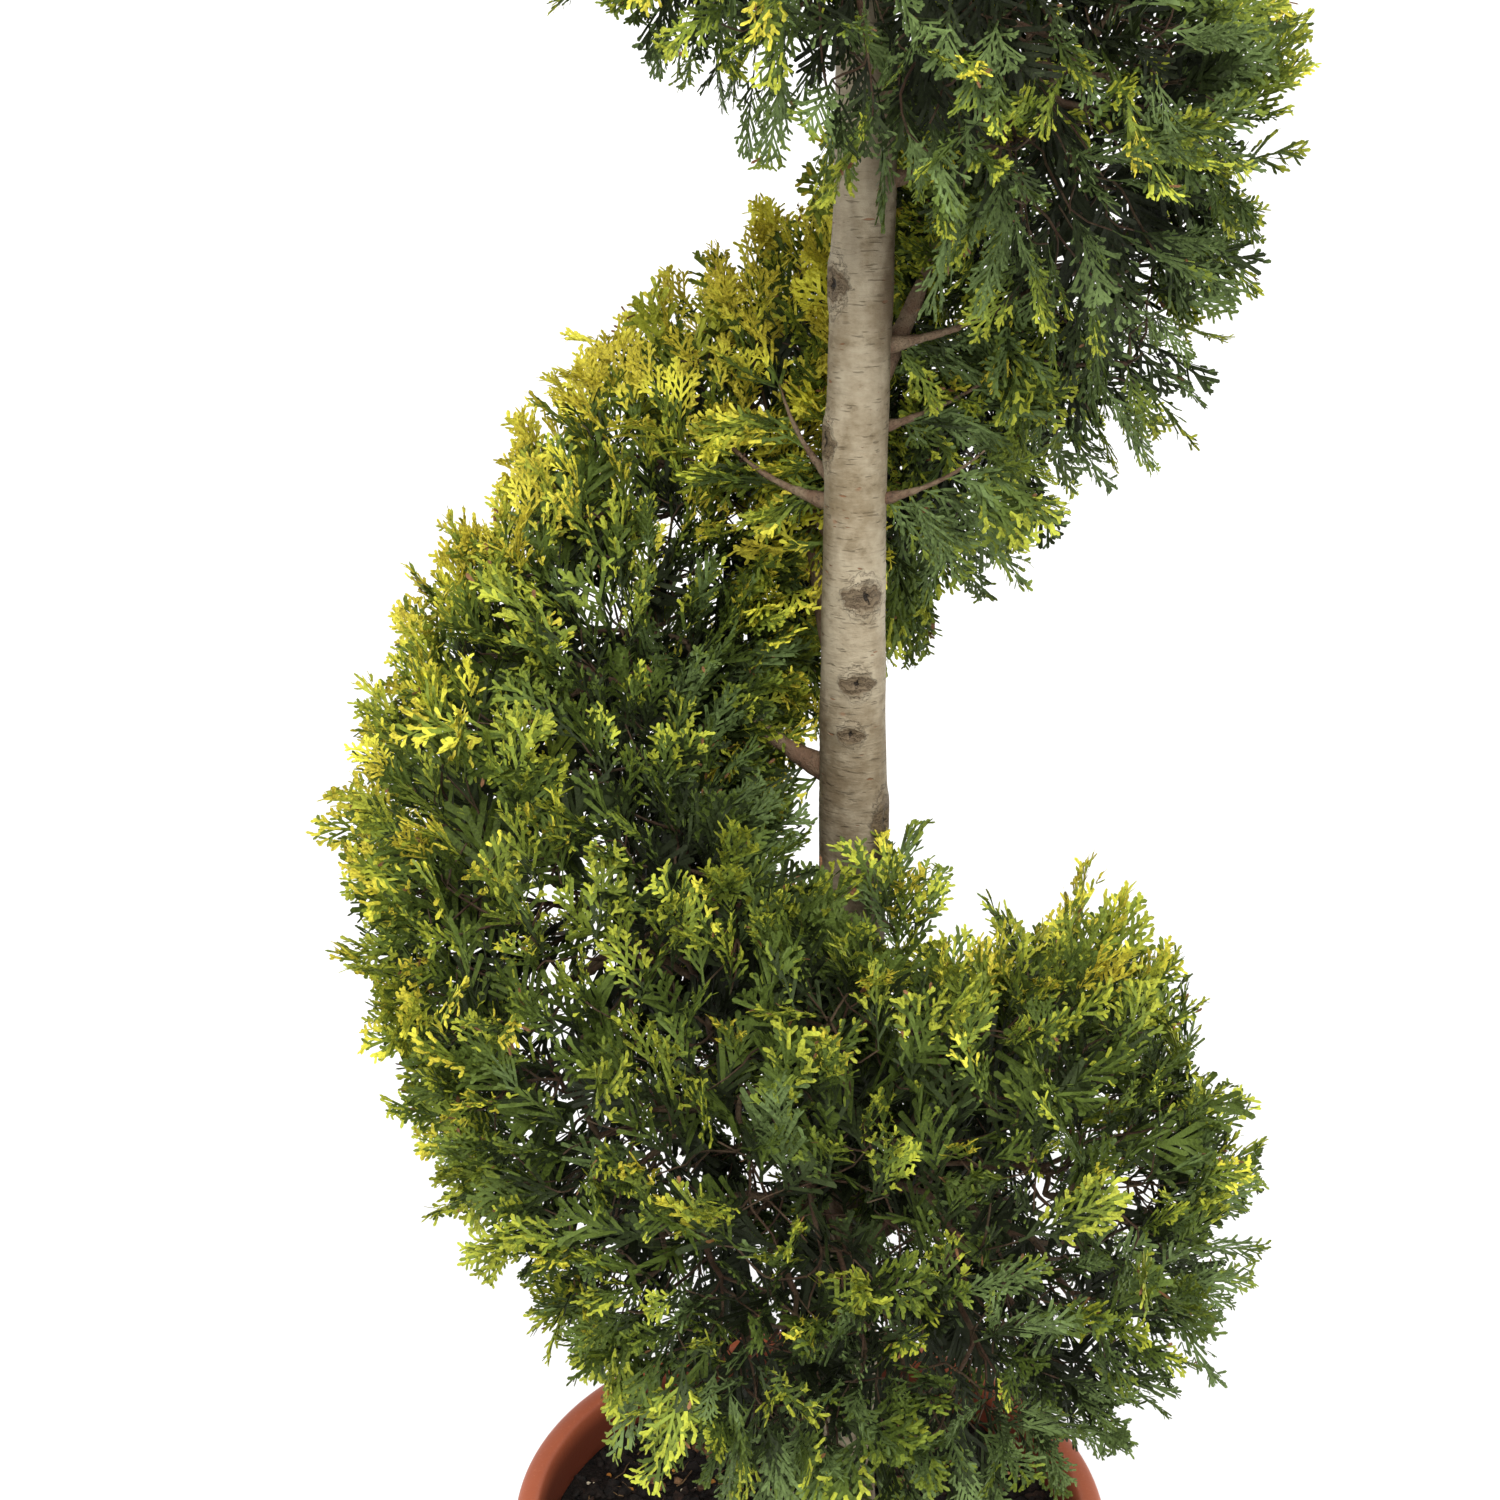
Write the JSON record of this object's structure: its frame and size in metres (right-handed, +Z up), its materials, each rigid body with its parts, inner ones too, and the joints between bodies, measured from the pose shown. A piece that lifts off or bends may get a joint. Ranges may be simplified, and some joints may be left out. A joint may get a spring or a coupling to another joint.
{
  "type": "spiral topiary",
  "caption": "Golden cypress clipped as a rising spiral round a bare straight trunk, standing in a round lipped nursery pot filled with compost.",
  "frame": {"origin": "centre of the pot's flat underside", "axes": "+Z up along the trunk, -Y towards the viewer of the picture, +X to the viewer's right"},
  "size_m": [0.5482, 0.5369, 1.834],
  "materials": {
    "pot": "satin terracotta-coloured moulded plastic",
    "soil": "dark moist compost of bark and peat with small stones and pellets",
    "bark": "smooth pale grey-beige bark with fine level lenticels and oval scars",
    "young_bark": "thin red-brown bark of young boughs",
    "foliage": "flat sprays of scale leaves, dark green inside and golden yellow at the upper tips"
  },
  "bodies": {
    "root": {"pot": "pot", "soil": "soil", "trunk": "bark", "bough_01": "young_bark", "bough_02": "young_bark", "bough_03": "young_bark", "bough_04": "young_bark", "bough_05": "young_bark", "bough_06": "young_bark", "bough_07": "young_bark", "bough_08": "young_bark", "bough_09": "young_bark", "bough_10": "young_bark", "bough_11": "young_bark", "bough_12": "young_bark", "bough_13": "young_bark", "bough_14": "young_bark", "bough_15": "young_bark", "bough_16": "young_bark", "bough_17": "young_bark", "bough_18": "young_bark", "bough_19": "young_bark", "bough_20": "young_bark", "foliage_01": "foliage", "foliage_02": "foliage", "foliage_03": "foliage", "foliage_04": "foliage", "foliage_05": "foliage", "foliage_06": "foliage", "foliage_07": "foliage", "foliage_08": "foliage", "foliage_09": "foliage", "foliage_10": "foliage", "foliage_11": "foliage", "foliage_12": "foliage", "foliage_tip": "foliage"}
  },
  "joints": []
}
